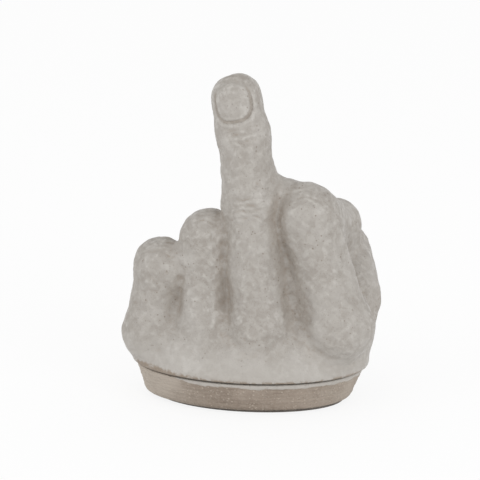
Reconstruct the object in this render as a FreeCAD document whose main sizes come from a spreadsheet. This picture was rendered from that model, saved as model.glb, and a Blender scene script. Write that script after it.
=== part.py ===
import FreeCAD, Part
import os

# A hollow ceramic hand on an oval stoneware foot: one finger stands up, the others are folded.
# Millimetres, +Z up, the back of the hand towards -Y, the origin at the centre of the underside.

document = FreeCAD.newDocument("hand_sculpture")
sheet = document.addObject("Spreadsheet::Sheet", "sizes")

# Felt, foot and floor
foot_sizes = {
    "felt_thickness": 1.5,
    "felt_inset": 1.0,
    "foot_width": 83.4,
    "foot_depth": 54.8,
    "foot_height": 10.8,
    "foot_draft": 3.8,
    "foot_edge": 2.0,
    "foot_edge_rise": 2.5,
    "foot_wall": 10.5,
    "floor_ledge": 3.0,
    "floor_thickness": 4.0,
    "vent_radius": 4.0,
    "spigot_height": 3.0,
    "slip_clearance": 0.3,
}

# Shell of the hand, from its lower lip up to the crown under the fingers
shell_sizes = {
    "shell_wall": 5.0,
    "hem_width": 85.2,
    "hem_depth": 54.8,
    "lip_width": 87.2,
    "lip_depth": 56.4,
    "lip_rise": 2.5,
    "heel_width": 86.8,
    "heel_depth": 52.8,
    "heel_rise": 6.5,
    "palm_width": 86.4,
    "palm_depth": 44.6,
    "palm_rise": 15.0,
    "palm_shift": 0.4,
    "row_width": 82.0,
    "row_depth": 30.4,
    "row_rise": 24.0,
    "row_shift": 0.2,
    "shoulder_width": 74.0,
    "shoulder_depth": 21.6,
    "shoulder_rise": 30.0,
    "shoulder_shift": -1.0,
    "crown_width": 64.0,
    "crown_depth": 17.2,
    "crown_rise": 34.0,
    "crown_shift": -2.5,
}

# Tenons that join the digits to the shell, and the ends of a phalanx against its joint ball
joint_sizes = {
    "tenon_radius": 5.0,
    "tenon_reach": 2.5,
    "tenon_grip": 14.0,
    "waist_share": 0.95,
}

# Each digit: where it springs from the shell, how it leans, and how far each phalanx is bent over
digit_sizes = {
    "middle": {
        "knuckle_x": 5.9,
        "knuckle_y": -13.0,
        "knuckle_rise": 18.5,
        "knuckle_radius": 11.4,
        "first_joint_radius": 10.6,
        "second_joint_radius": 9.8,
        "tip_radius": 9.1,
        "first_length": 44.2,
        "first_bend_angle": 3.0,
        "first_lean_angle": -5.0,
        "second_length": 24.0,
        "second_bend_angle": 5.0,
        "second_lean_angle": -8.6,
        "third_length": 12.8,
        "third_bend_angle": 8.0,
        "third_lean_angle": -8.9,
        "bore_radius": 3.2,
        "bore_length": 62.0,
        "root_radius": 9.6,
        "root_depth": 8.0,
        "root_length": 27.0,
    },
    "index": {
        "knuckle_x": 33.8,
        "knuckle_y": -10.5,
        "knuckle_rise": 18.5,
        "knuckle_radius": 11.6,
        "first_joint_radius": 11.5,
        "second_joint_radius": 10.0,
        "tip_radius": 8.4,
        "first_length": 41.0,
        "first_bend_angle": 2.8,
        "first_lean_angle": -16.9,
        "second_length": 23.4,
        "second_bend_angle": 117.4,
        "second_lean_angle": -34.0,
        "third_length": 13.0,
        "third_bend_angle": 178.0,
        "third_lean_angle": -5.0,
        "bore_radius": 2.4,
        "bore_length": 33.0,
    },
    "ring": {
        "knuckle_x": -13.8,
        "knuckle_y": -12.0,
        "knuckle_rise": 17.5,
        "knuckle_radius": 9.5,
        "first_joint_radius": 9.2,
        "second_joint_radius": 8.4,
        "tip_radius": 7.5,
        "first_length": 31.8,
        "first_bend_angle": 5.4,
        "first_lean_angle": 0.6,
        "second_length": 20.5,
        "second_bend_angle": 113.0,
        "second_lean_angle": -3.0,
        "third_length": 12.5,
        "third_bend_angle": 178.0,
        "third_lean_angle": -3.0,
        "bore_radius": 2.4,
        "bore_length": 28.0,
    },
    "little": {
        "knuckle_x": -35.2,
        "knuckle_y": -8.5,
        "knuckle_rise": 13.4,
        "knuckle_radius": 9.8,
        "first_joint_radius": 10.5,
        "second_joint_radius": 8.2,
        "tip_radius": 7.2,
        "first_length": 23.4,
        "first_bend_angle": 3.7,
        "first_lean_angle": 11.0,
        "second_length": 17.5,
        "second_bend_angle": 114.0,
        "second_lean_angle": 4.0,
        "third_length": 11.0,
        "third_bend_angle": 178.0,
        "third_lean_angle": 3.0,
        "bore_radius": 2.4,
        "bore_length": 20.0,
    },
    "thumb": {
        "knuckle_x": 32.0,
        "knuckle_y": 5.0,
        "knuckle_rise": 12.4,
        "knuckle_radius": 12.0,
        "first_joint_radius": 11.5,
        "second_joint_radius": 10.8,
        "tip_radius": 9.0,
        "first_length": 12.0,
        "first_bend_angle": 12.4,
        "first_lean_angle": 13.0,
        "second_length": 20.0,
        "second_bend_angle": 44.2,
        "second_lean_angle": -17.2,
        "third_length": 25.1,
        "third_bend_angle": 6.9,
        "third_lean_angle": -102.8,
        "bore_radius": 2.4,
        "bore_length": 14.0,
    },
}

# Clay left between neighbouring fingers: how far up them it reaches, and how far back from their faces
web_sizes = {
    "little_ring": {"web_height_share": 0.80, "web_set_back": 3.5, "web_radius": 5.0},
    "ring_middle": {"web_height_share": 0.62, "web_set_back": 4.5, "web_radius": 5.4},
    "middle_index": {"web_height_share": 1.0, "web_set_back": 4.0, "web_radius": 5.6},
}

# Fleshy mounds of the palm, below the thumb and the little finger, and clay in the notch above a web
mound_sizes = {
    "thumb_mound": {"x": 25.0, "y": 9.0, "rise": 11.6, "radius": 11.4},
    "side_mound": {"x": -28.0, "y": 8.5, "rise": 13.0, "radius": 12.6},
    "notch_fill": {"x": 12.4, "y": -6.5, "rise": 66.6, "radius": 5.4},
}

phalanges = ("first", "second", "third")
joints = ("knuckle", "first_joint", "second_joint", "tip")


def derived_cells(digit):
    """The height of a digit's knuckle, then the centre of each joint after it."""
    cells = {f"{digit}_knuckle_z": f"=foot_top + {digit}_knuckle_rise"}
    for start, phalanx, end in zip(joints, phalanges, joints[1:]):
        length = f"{digit}_{phalanx}_length"
        bend = f"{digit}_{phalanx}_bend_angle"
        lean = f"{digit}_{phalanx}_lean_angle"
        cells[f"{digit}_{end}_x"] = f"={digit}_{start}_x + {length} * cos({bend}) * sin({lean})"
        cells[f"{digit}_{end}_y"] = f"={digit}_{start}_y + {length} * sin({bend})"
        cells[f"{digit}_{end}_z"] = f"={digit}_{start}_z + {length} * cos({bend}) * cos({lean})"
    return cells


def web_cells(web, web_values):
    """Where the clay between two fingers starts, how it leans, and where it ends."""
    left, right = web.split("_")
    cells = {f"{web}_{name}": value for name, value in web_values.items()}
    for name in ("first_bend_angle", "first_lean_angle", "knuckle_x", "knuckle_z"):
        cells[f"{web}_{name}"] = f"=({left}_{name} + {right}_{name}) / 2"
    cells[f"{web}_knuckle_y"] = f"=({left}_knuckle_y + {right}_knuckle_y) / 2 + {web}_web_set_back"
    reach = f"{web}_web_height_share * ({left}_first_length + {right}_first_length) / 2"
    cells[f"{web}_first_length"] = f"={reach}"
    bend, lean, length = (f"{web}_first_{name}" for name in ("bend_angle", "lean_angle", "length"))
    cells[f"{web}_end_x"] = f"={web}_knuckle_x + {length} * cos({bend}) * sin({lean})"
    cells[f"{web}_end_y"] = f"={web}_knuckle_y + {length} * sin({bend})"
    cells[f"{web}_end_z"] = f"={web}_knuckle_z + {length} * cos({bend}) * cos({lean})"
    return cells


def fill_sheet():
    """Writes the driving sizes, then the heights and joint centres that follow from them."""
    cells = {**foot_sizes, **shell_sizes, **joint_sizes, "foot_top": "=felt_thickness + foot_height"}
    for digit, digit_values in digit_sizes.items():
        cells.update({f"{digit}_{name}": value for name, value in digit_values.items()})
        cells.update(derived_cells(digit))
    for web, web_values in web_sizes.items():
        cells.update(web_cells(web, web_values))
    for mound, mound_values in mound_sizes.items():
        cells.update({f"{mound}_{name}": value for name, value in mound_values.items()})
        cells[f"{mound}_z"] = f"=foot_top + {mound}_rise"
    for row, (name, value) in enumerate(cells.items(), start=1):
        sheet.set(f"A{row}", name)
        sheet.set(f"B{row}", str(value))
        sheet.setAlias(f"B{row}", name)
    document.recompute()


def bind(piece, **expressions):
    """Ties properties of a piece to formulas that read the sheet."""
    for name, expression in expressions.items():
        piece.setExpression(name, expression)
    return piece


def place(piece, centre, bend="0", lean="0"):
    """Ties a piece's Placement to a centre, leaned to +X and bent over to +Y."""
    base = "create(<<vector>>; {}; {}; {})".format(*centre)
    turn = f"create(<<rotation>>; 0; {lean}; -({bend}))"
    piece.setExpression("Placement", f"create(<<placement>>; {base}; {turn})")
    return piece


def add_oval(name, width, depth, height, shift="0"):
    """One level oval, as a section for a loft."""
    oval = document.addObject("Part::Ellipse", name)
    bind(oval, MajorRadius=f"({width}) / 2", MinorRadius=f"({depth}) / 2")
    return place(oval, ("0", shift, height))


def add_loft(name, sections, ruled=False):
    """A closed solid through ovals."""
    loft = document.addObject("Part::Loft", name)
    loft.Sections = sections
    loft.Solid = True
    loft.Ruled = ruled
    return loft


def add_fuse(name, pieces):
    fuse = document.addObject("Part::MultiFuse", name)
    fuse.Shapes = pieces
    return fuse


def add_cut(name, base, tool):
    cut = document.addObject("Part::Cut", name)
    cut.Base = base
    cut.Tool = tool
    return cut


def add_ball(digit, joint):
    """The swelling at one joint of a digit, turned along the phalanx that ends there."""
    phalanx = phalanges[max(0, joints.index(joint) - 1)]
    ball = document.addObject("Part::Sphere", f"{digit}_{joint}_ball")
    bind(ball, Radius=f"sizes.{digit}_{joint}_radius")
    bend = f"sizes.{digit}_{phalanx}_bend_angle"
    lean = f"sizes.{digit}_{phalanx}_lean_angle"
    return place(ball, joint_centre(digit, joint), bend, lean)


def joint_centre(digit, joint):
    return [f"sizes.{digit}_{joint}_{axis}" for axis in "xyz"]


def add_phalanx(digit, phalanx, start, end):
    """A tapered length of a digit from one joint's centre to the next."""
    cone = document.addObject("Part::Cone", f"{digit}_{phalanx}_phalanx")
    bind(
        cone,
        Radius1=f"sizes.{digit}_{start}_radius * sizes.waist_share",
        Radius2=f"sizes.{digit}_{end}_radius * sizes.waist_share",
        Height=f"sizes.{digit}_{phalanx}_length",
    )
    bend = f"sizes.{digit}_{phalanx}_bend_angle"
    lean = f"sizes.{digit}_{phalanx}_lean_angle"
    return place(cone, joint_centre(digit, start), bend, lean)


def add_digit_form(digit):
    """The whole outer form of a digit, down to its knuckle's centre."""
    pieces = [add_ball(digit, joint) for joint in joints[1:]]
    for start, phalanx, end in zip(joints, phalanges, joints[1:]):
        pieces.append(add_phalanx(digit, phalanx, start, end))
    if "root_length" in digit_sizes[digit]:
        pieces.extend(add_root(digit))
    return add_fuse(f"{digit}_form", pieces)


def add_rounded_rod(name, radius, length, start, end, bend, lean):
    """A slightly tapered rod with a round upper end."""
    cone = document.addObject("Part::Cone", name)
    bind(cone, Radius1=radius, Radius2=f"{radius} * sizes.waist_share", Height=length)
    ball = document.addObject("Part::Sphere", f"{name}_end")
    bind(ball, Radius=radius)
    return [place(cone, start, bend, lean), place(ball, end, bend, lean)]


def add_root(digit):
    """The flesh on the palm side of a raised finger, beside its first phalanx."""
    bend = f"sizes.{digit}_first_bend_angle"
    lean = f"sizes.{digit}_first_lean_angle"
    length, depth = f"sizes.{digit}_root_length", f"sizes.{digit}_root_depth"
    start = joint_centre(digit, "knuckle")
    start[1] += f" + {depth}"
    end = [
        f"{start[0]} + {length} * cos({bend}) * sin({lean})",
        f"{start[1]} + {length} * sin({bend})",
        f"{start[2]} + {length} * cos({bend}) * cos({lean})",
    ]
    return add_rounded_rod(f"{digit}_root", f"sizes.{digit}_root_radius", length, start, end, bend, lean)


def add_web(web):
    """Clay between two neighbouring fingers."""
    start = joint_centre(web, "knuckle")
    end = joint_centre(web, "end")
    radius, length = f"sizes.{web}_web_radius", f"sizes.{web}_first_length"
    bend = f"sizes.{web}_first_bend_angle"
    lean = f"sizes.{web}_first_lean_angle"
    return add_rounded_rod(f"{web}_web", radius, length, start, end, bend, lean)


def tenon_start(digit):
    """How far along the first phalanx its tenon begins, so that it reaches just through the wall."""
    if digit == "thumb":
        return "0"
    wall_top = "sizes.crown_rise - sizes.shell_wall"
    return f"max(0; {wall_top} - sizes.{digit}_knuckle_rise - sizes.tenon_reach)"


def add_root_rod(name, digit, radius, length, start="0"):
    """A rod on the axis of a digit's first phalanx, from a distance past the knuckle's centre."""
    rod = document.addObject("Part::Cylinder", name)
    bind(rod, Radius=radius, Height=length)
    bend = f"sizes.{digit}_first_bend_angle"
    lean = f"sizes.{digit}_first_lean_angle"
    centre = [
        f"sizes.{digit}_knuckle_x + ({start}) * cos({bend}) * sin({lean})",
        f"sizes.{digit}_knuckle_y + ({start}) * sin({bend})",
        f"sizes.{digit}_knuckle_z + ({start}) * cos({bend}) * cos({lean})",
    ]
    return place(rod, centre, bend, lean)


def add_digit(label, digit, form, shell_form, neighbours):
    """A digit seated on the shell and its neighbours, with its tenon in the wall and its vent bore."""
    radius, length = "sizes.tenon_radius", "sizes.tenon_grip"
    tenon = add_root_rod(f"{digit}_tenon", digit, radius, length, tenon_start(digit))
    seat = add_cut(f"{digit}_seat", shell_form, tenon)
    piece = add_cut(f"{digit}_seated", form, seat)
    for neighbour in neighbours:
        piece = add_cut(f"{digit}_beside_{neighbour.Name}", piece, neighbour)
    radius, length = f"sizes.{digit}_bore_radius", f"sizes.{digit}_bore_length"
    finished = add_cut(f"{digit}_finished", piece, add_root_rod(f"{digit}_bore", digit, radius, length))
    finished.Label = label
    return finished


def add_shell_form():
    """The outside of the palm and the back of the hand, with its knuckles, mounds and webs."""
    ground = "sizes.foot_top"
    sections = [add_oval("hem", "sizes.hem_width", "sizes.hem_depth", ground)]
    for name in ("lip", "heel"):
        width = f"sizes.{name}_width"
        depth = f"sizes.{name}_depth"
        sections.append(add_oval(name, width, depth, f"{ground} + sizes.{name}_rise"))
    for name in ("palm", "row", "shoulder", "crown"):
        width = f"sizes.{name}_width"
        depth = f"sizes.{name}_depth"
        shift = f"sizes.{name}_shift"
        sections.append(add_oval(name, width, depth, f"{ground} + sizes.{name}_rise", shift))
    mounds = [add_ball(digit, "knuckle") for digit in digit_sizes]
    for mound in mound_sizes:
        ball = document.addObject("Part::Sphere", mound)
        bind(ball, Radius=f"sizes.{mound}_radius")
        mounds.append(place(ball, [f"sizes.{mound}_{axis}" for axis in "xyz"]))
    for web in web_sizes:
        mounds.extend(add_web(web))
    return add_fuse("shell_form", [add_loft("shell_sides", sections)] + mounds)


def add_shell_hollow():
    """The room inside the shell, one wall in from its outside."""
    ground = "sizes.foot_top"
    walls = "- sizes.shell_wall - sizes.shell_wall"
    sections = [
        add_oval("hollow_hem", f"sizes.hem_width {walls}", f"sizes.hem_depth {walls}", ground)
    ]
    for name, lowered in (("palm", ""), ("row", "- sizes.shell_wall"), ("crown", "- sizes.shell_wall")):
        width = f"sizes.{name}_width {walls}"
        depth = f"sizes.{name}_depth {walls}"
        height = f"{ground} + sizes.{name}_rise {lowered}"
        sections.append(add_oval(f"hollow_{name}", width, depth, height, f"sizes.{name}_shift"))
    return add_loft("shell_hollow", sections)


def add_shell(form):
    """The hollow shell with one socket for each digit's tenon."""
    sockets = []
    for digit in digit_sizes:
        radius = "sizes.tenon_radius + sizes.slip_clearance"
        length = f"sizes.tenon_grip + {tenon_start(digit)}"
        sockets.append(add_root_rod(f"{digit}_socket", digit, radius, length))
    shell = add_cut("shell_finished", form, add_fuse("shell_rooms", [add_shell_hollow()] + sockets))
    shell.Label = "hand_body"
    return shell


def add_foot():
    """The oval foot ring, with a ledge for the floor and a spigot that centres the shell."""
    ground = "sizes.felt_thickness"
    draft = "- sizes.foot_draft - sizes.foot_draft"
    edge = "- sizes.foot_edge - sizes.foot_edge"
    walls = "- sizes.foot_wall - sizes.foot_wall"
    ledges = "+ sizes.floor_ledge + sizes.floor_ledge"
    gap = "- sizes.slip_clearance - sizes.slip_clearance"
    shell_walls = "- sizes.shell_wall - sizes.shell_wall"
    ring = add_loft(
        "foot_outside",
        [
            add_oval(
                "foot_bottom",
                f"sizes.foot_width {draft} {edge}",
                f"sizes.foot_depth {draft} {edge}",
                ground,
            ),
            add_oval(
                "foot_shoulder",
                f"sizes.foot_width {draft}",
                f"sizes.foot_depth {draft}",
                f"{ground} + sizes.foot_edge_rise",
            ),
            add_oval("foot_rim", "sizes.foot_width", "sizes.foot_depth", "sizes.foot_top"),
        ],
        ruled=True,
    )
    spigot = add_plate(
        "spigot",
        f"sizes.hem_width {shell_walls} {gap}",
        f"sizes.hem_depth {shell_walls} {gap}",
        ground,
        "sizes.foot_height + sizes.spigot_height",
    )
    hole = add_plate(
        "foot_hole",
        f"sizes.foot_width {walls}",
        f"sizes.foot_depth {walls}",
        "0",
        "sizes.foot_top + sizes.spigot_height",
    )
    rebate = add_plate(
        "floor_rebate",
        f"sizes.foot_width {walls} {ledges}",
        f"sizes.foot_depth {walls} {ledges}",
        "0",
        "sizes.felt_thickness + sizes.floor_thickness",
    )
    body = add_fuse("foot_body", [ring, spigot])
    foot = add_cut("foot_finished", body, add_fuse("foot_rooms", [hole, rebate]))
    foot.Label = "stoneware_foot"
    return foot


def add_plate(name, width, depth, height, thickness):
    """A level oval plate that stands on a height."""
    plate = document.addObject("Part::Extrusion", name)
    plate.Base = add_oval(f"{name}_outline", width, depth, height)
    plate.DirMode = "Custom"
    plate.Dir = FreeCAD.Vector(0, 0, 1)
    plate.Solid = True
    return bind(plate, LengthFwd=thickness)


def add_floor():
    """The oval slab that closes the foot from below, with the kiln vent in its middle."""
    walls = "- sizes.foot_wall - sizes.foot_wall"
    ledges = "+ sizes.floor_ledge + sizes.floor_ledge"
    gap = "- sizes.slip_clearance - sizes.slip_clearance"
    slab = add_plate(
        "floor_plate",
        f"sizes.foot_width {walls} {ledges} {gap}",
        f"sizes.foot_depth {walls} {ledges} {gap}",
        "sizes.felt_thickness",
        "sizes.floor_thickness",
    )
    vent = document.addObject("Part::Cylinder", "floor_vent")
    bind(vent, Radius="sizes.vent_radius", Height="sizes.felt_thickness + sizes.floor_thickness")
    floor = add_cut("floor_finished", slab, vent)
    floor.Label = "floor_slab"
    return floor


def add_felt():
    """The felt that the whole piece rests on."""
    draft = "- sizes.foot_draft - sizes.foot_draft"
    edge = "- sizes.foot_edge - sizes.foot_edge"
    inset = f"{draft} {edge} - sizes.felt_inset - sizes.felt_inset"
    felt = add_plate(
        "felt_plate",
        f"sizes.foot_width {inset}",
        f"sizes.foot_depth {inset}",
        "0",
        "sizes.felt_thickness",
    )
    felt.Label = "felt_base"
    return felt


def check_and_write(nodes):
    """Stops on anything that failed, then writes one STEP file for each node."""
    document.recompute()
    for piece in document.Objects:
        if "Invalid" in piece.State or "Error" in piece.State:
            raise RuntimeError(f"{piece.Name} failed: {piece.State}")
    os.makedirs("parts", exist_ok=True)
    for node in nodes:
        shape = node.Shape
        if shape.isNull() or not shape.isValid():
            raise RuntimeError(f"{node.Label} has no valid shape")
        if len(shape.Solids) != 1:
            raise RuntimeError(f"{node.Label} is {len(shape.Solids)} solids")
        shape.exportStep(f"parts/{node.Label}.step")
        print(node.Label, round(shape.Volume), shape.BoundBox)


fill_sheet()
shell_form = add_shell_form()
forms = {digit: add_digit_form(digit) for digit in digit_sizes}
middle, index, ring, little, thumb = (
    forms[digit] for digit in ("middle", "index", "ring", "little", "thumb")
)
check_and_write([
    add_felt(),
    add_floor(),
    add_foot(),
    add_shell(shell_form),
    add_digit("raised_middle_finger", "middle", middle, shell_form, []),
    add_digit("folded_index_finger", "index", index, shell_form, [middle]),
    add_digit("folded_ring_finger", "ring", ring, shell_form, [middle]),
    add_digit("folded_little_finger", "little", little, shell_form, [ring]),
    add_digit("thumb", "thumb", thumb, shell_form, [middle, index, ring]),
])
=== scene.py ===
import bpy
import math
import numpy as np
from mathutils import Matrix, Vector


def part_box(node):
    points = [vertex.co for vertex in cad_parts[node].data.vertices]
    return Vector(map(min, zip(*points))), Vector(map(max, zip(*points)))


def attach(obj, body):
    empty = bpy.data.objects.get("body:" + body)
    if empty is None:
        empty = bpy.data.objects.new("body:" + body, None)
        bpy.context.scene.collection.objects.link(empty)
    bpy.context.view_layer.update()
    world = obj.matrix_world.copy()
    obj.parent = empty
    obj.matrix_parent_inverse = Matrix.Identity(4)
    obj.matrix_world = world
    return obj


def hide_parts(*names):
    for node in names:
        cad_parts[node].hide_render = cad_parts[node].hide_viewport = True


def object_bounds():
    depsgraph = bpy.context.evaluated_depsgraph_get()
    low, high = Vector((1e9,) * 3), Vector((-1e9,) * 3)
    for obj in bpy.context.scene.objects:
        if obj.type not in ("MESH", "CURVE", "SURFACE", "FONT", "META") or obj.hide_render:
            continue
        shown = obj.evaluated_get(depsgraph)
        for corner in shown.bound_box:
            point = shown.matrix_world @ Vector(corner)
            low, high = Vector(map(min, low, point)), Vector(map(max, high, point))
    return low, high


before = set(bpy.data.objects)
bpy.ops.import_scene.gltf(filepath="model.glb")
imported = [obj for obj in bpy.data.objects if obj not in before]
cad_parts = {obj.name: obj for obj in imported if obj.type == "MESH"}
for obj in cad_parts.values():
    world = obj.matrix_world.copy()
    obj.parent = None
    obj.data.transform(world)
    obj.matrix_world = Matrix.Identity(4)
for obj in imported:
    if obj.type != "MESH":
        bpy.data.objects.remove(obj)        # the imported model: one rigid body, nine pieces
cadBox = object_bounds()

mm = 0.001

# The clay is one smooth form, modelled as a distance field on a grid, in millimetres.
# Each piece of the hand then gets its own closed mesh, cut where it meets its neighbours.

gridShape = {
    "step": 0.5,             # spacing of the finest grid
    "coarse": 4,             # fine steps in one coarse step
    "margin": 4.0,           # room round the hand
    "bandSteps": 1.8,        # the finest grid reaches this many coarse steps from the surface
    "bandRoom": 1.5,         # and this much further
    "overlap": 1.4,          # how far a piece runs on under its neighbour
    "dip": 0.5,              # slope at which it sinks there
    "smoothing": 2,          # rounds of evening out the mesh
    "evenings": 10,          # rounds of evening out where clay only touches itself at a corner
    "partings": 12,          # rounds of parting it there, where that isn't enough
    "parting": 0.05,         # and how far
}

corners = [(a, b, c) for a in (0, 1) for b in (0, 1) for c in (0, 1)]     # of a grid cell


def boxInMm(node):
    low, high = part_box(node)
    return np.array(low) / mm, np.array(high) / mm


shellLow, shellHigh = boxInMm("hand_body")
footLow, footHigh = boxInMm("stoneware_foot")
footTop = shellLow[2]

# Small tools for distance fields


def blend(a, b, reach):
    # union of two forms with a fillet of about that reach
    mix = np.clip(0.5 + 0.5 * (b - a) / reach, 0, 1)
    return b + (a - b) * mix - reach * mix * (1 - mix)


def blendAll(forms, reach):
    total = forms[0]
    for form in forms[1:]:
        total = blend(total, form, reach)
    return total


def trim(form, cut, reach):
    # what is left of a form where the cut is below zero too, with a rounded edge
    return -blend(-form, -cut, reach)


def ball(points, centre, radii):
    # an ellipsoid on the frame's axes
    local = (points - np.float32(centre)) / np.float32(radii)
    size = np.sqrt((local ** 2).sum(1)) + 1e-6
    slope = np.sqrt(((local / np.float32(radii)) ** 2).sum(1)) + 1e-6
    return size * (size - 1) / slope


def rod(points, start, end, startRadius, endRadius, waist=0.0):
    # a tapered rod with round ends, drawn in by waist halfway along
    start, end = np.float32(start), np.float32(end)
    run = end - start
    share = np.clip((points - start) @ run / (run @ run), 0, 1)
    away = points - start - share[:, None] * run
    radius = startRadius + (endRadius - startRadius) * share - waist * np.sin(np.pi * share)
    return np.sqrt((away ** 2).sum(1)) - radius


def bump(value, width):
    return np.exp(-((value / width) ** 2))


def rampUp(value, low, high):
    share = np.clip((value - low) / (high - low), 0, 1)
    return share * share * (3 - 2 * share)


# Digits: where each springs from, how it leans, and how far each phalanx is bent over.
# Angles are in degrees, and bends add up from upright.

digits = {
    "raised_middle_finger": {
        "knuckle": (5.9, -13.0, 18.5),       # x, y and height above the foot
        "lengths": (44.2, 24.0, 12.5),
        "bends": (3.0, 5.0, 8.0),
        "leans": (-4.5, -7.8, -12.6),
        "radii": (11.4, 10.2, 9.3, 9.2),
        "waists": (0.4, 0.35, 0.0),
        "pads": 0.44,
        "creases": 1.0,
        "nail": {"width": 12.4, "length": 13.0, "turn": 0.0},
        "root": {"depth": 8.0, "length": 27.0, "radius": 9.6},   # flesh on its palm side
    },
    "folded_index_finger": {
        "knuckle": (33.8, -10.5, 18.5),
        "lengths": (41.0, 23.4, 13.0),
        "bends": (2.8, 117.4, 178.0),
        "leans": (-16.3, -34.0, -5.0),
        "radii": (11.6, 11.3, 10.0, 8.4),
        "waists": (0.9, 0.5, 0.0),
        "pads": 0.4,
        "creases": 0.55,
        "nail": {"width": 11.4, "length": 11.5, "turn": 14.0},
    },
    "folded_ring_finger": {
        "knuckle": (-13.8, -12.0, 17.5),
        "lengths": (31.8, 20.5, 12.5),
        "bends": (5.4, 113.0, 178.0),
        "leans": (0.6, -3.0, -3.0),
        "radii": (9.5, 9.5, 8.4, 7.5),
        "waists": (0.6, 0.4, 0.0),
        "pads": 0.4,
        "creases": 0.55,
        "nail": {"width": 10.6, "length": 11.0, "turn": 0.0},
    },
    "folded_little_finger": {
        "knuckle": (-34.9, -8.5, 12.6),
        "lengths": (24.2, 17.5, 11.0),
        "bends": (3.7, 114.0, 178.0),
        "leans": (9.9, 4.0, 3.0),
        "radii": (9.8, 10.1, 8.2, 7.2),
        "waists": (0.5, 0.4, 0.0),
        "pads": 0.4,
        "creases": 0.55,
        "nail": {"width": 9.6, "length": 9.8, "turn": 0.0},
    },
    "thumb": {
        "knuckle": (32.0, 5.0, 12.4),
        "lengths": (12.0, 20.0, 25.1),
        "bends": (12.4, 44.2, 6.9),
        "leans": (13.0, -17.2, -102.8),
        "radii": (12.0, 11.5, 10.5, 9.0),
        "waists": (0.0, -0.8, 0.3),
        "pads": 0.4,
        "creases": 0.7,
        "nail": {"width": 13.0, "length": 14.0, "turn": 155.0},   # its nail faces away from the palm
    },
}


def phalanxAxes(bend, lean, turn=0.0):
    # along, back-of-finger and sideways directions of a phalanx
    bend, lean, turn = (math.radians(angle) for angle in (bend, lean, turn))
    pitch = np.array([[1, 0, 0],
                      [0, math.cos(bend), math.sin(bend)],
                      [0, -math.sin(bend), math.cos(bend)]])
    roll = np.array([[math.cos(lean), 0, math.sin(lean)],
                     [0, 1, 0],
                     [-math.sin(lean), 0, math.cos(lean)]])
    along, back, side = (roll @ pitch @ np.array(v) for v in ((0, 0, 1), (0, -1, 0), (1, 0, 0)))
    turnedBack = back * math.cos(turn) + side * math.sin(turn)
    turnedSide = side * math.cos(turn) - back * math.sin(turn)
    return along, turnedBack, turnedSide


def layOut(digit):
    # joint centres and the three directions of each phalanx
    x, y, rise = digit["knuckle"]
    joints = [np.array([x, y, footTop + rise])]
    axes = []
    for length, bend, lean in zip(digit["lengths"], digit["bends"], digit["leans"]):
        axes.append(phalanxAxes(bend, lean, digit["nail"]["turn"]))
        joints.append(joints[-1] + length * axes[-1][0])
    return joints, axes


for digit in digits.values():
    digit["joints"], digit["axes"] = layOut(digit)


flesh = {
    "padPlaces": (0.55, 0.5, 0.75),    # how far along each phalanx its pad sits
    "padLength": 0.3,      # of the phalanx's length
    "padRadius": 0.66,     # of the finger's radius
    "rootTaper": 0.85,     # end radius of the flesh at a finger's root, of its start
    "softness": 2.4,       # fillet between the forms of one digit
}


def digitForm(points, digit):
    # the smooth outer form of one digit with its fleshy pads
    joints, radii = digit["joints"], digit["radii"]
    forms = []
    for number in range(3):
        start, end = joints[number], joints[number + 1]
        forms.append(rod(points, start, end, radii[number], radii[number + 1], digit["waists"][number]))
        along, back, _ = digit["axes"][number]
        radius = 0.5 * (radii[number] + radii[number + 1])
        centre = start + (end - start) * flesh["padPlaces"][number] - back * radius * digit["pads"]
        reachAlong = digit["lengths"][number] * flesh["padLength"]
        half = along * reachAlong * 0.5
        padRadius = radius * flesh["padRadius"]
        forms.append(rod(points, centre - half, centre + half, padRadius, padRadius))
    if "root" in digit:
        root = digit["root"]
        along, back, _ = digit["axes"][0]
        start = joints[0] - back * root["depth"]
        end = start + along * root["length"]
        forms.append(rod(points, start, end, root["radius"], root["radius"] * flesh["rootTaper"]))
    return blendAll(forms, flesh["softness"])


creases = {
    "straightLines": (-3.4, -1.3, 0.8, 2.9),   # along the finger from the joint, on its back
    "bentLines": (-2.2, 0.4, 2.6),
    "palmLines": (-1.0, 1.1),
    "backDepths": (0.42, 0.34),    # at the middle and the end joint
    "backWidths": (0.5, 0.42),
    "backSpans": (0.62, 0.6),      # half their length across, of the finger's radius
    "palmDepth": 0.75,
    "palmWidth": 0.55,
    "palmSpan": 0.9,
    "bow": 0.35,                   # how far a line curves towards its ends
    "wobble": 0.35,                # how far it wanders
}


def creaseLines(points, digit, number, offsets, depth, width, onBack, halfWidth):
    # curved grooves across a joint, on its back or its pad side
    centre = digit["joints"][number]
    along, back, side = digit["axes"][number - 1]
    after = digit["axes"][min(number, 2)]
    middles = along + after[0], back + after[1]
    middleAlong, middleBack = (axis / np.linalg.norm(axis) for axis in middles)
    local = points - np.float32(centre)
    upward = local @ np.float32(middleAlong)
    outward = local @ np.float32(middleBack) * (1 if onBack else -1)
    sideways = local @ np.float32(side)
    facing = rampUp(outward, 0.5, digit["radii"][number] * 0.6)
    fading = bump(sideways, halfWidth)
    carved = np.zeros(len(points), np.float32)
    for offset in offsets:
        bend = offset * (sideways / halfWidth) ** 2 * creases["bow"]
        wobble = creases["wobble"] * np.sin(sideways * 0.9 + offset * 2.0)
        carved += bump(upward - offset - bend - wobble, width)
    return depth * carved * facing * fading


nailShape = {
    "setBack": 0.66,       # its middle's distance from the fingertip's centre, of the tip's radius
    "groove": 0.55,        # depth of the groove round it
    "plate": 0.38,         # how far the plate stands out
    "fold": 0.34,          # how far the skin's fold stands out
    "ridges": 0.025,       # height of the plate's fine ridges
    "underEdge": 0.3,      # depth of the hollow under its free edge
}


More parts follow.
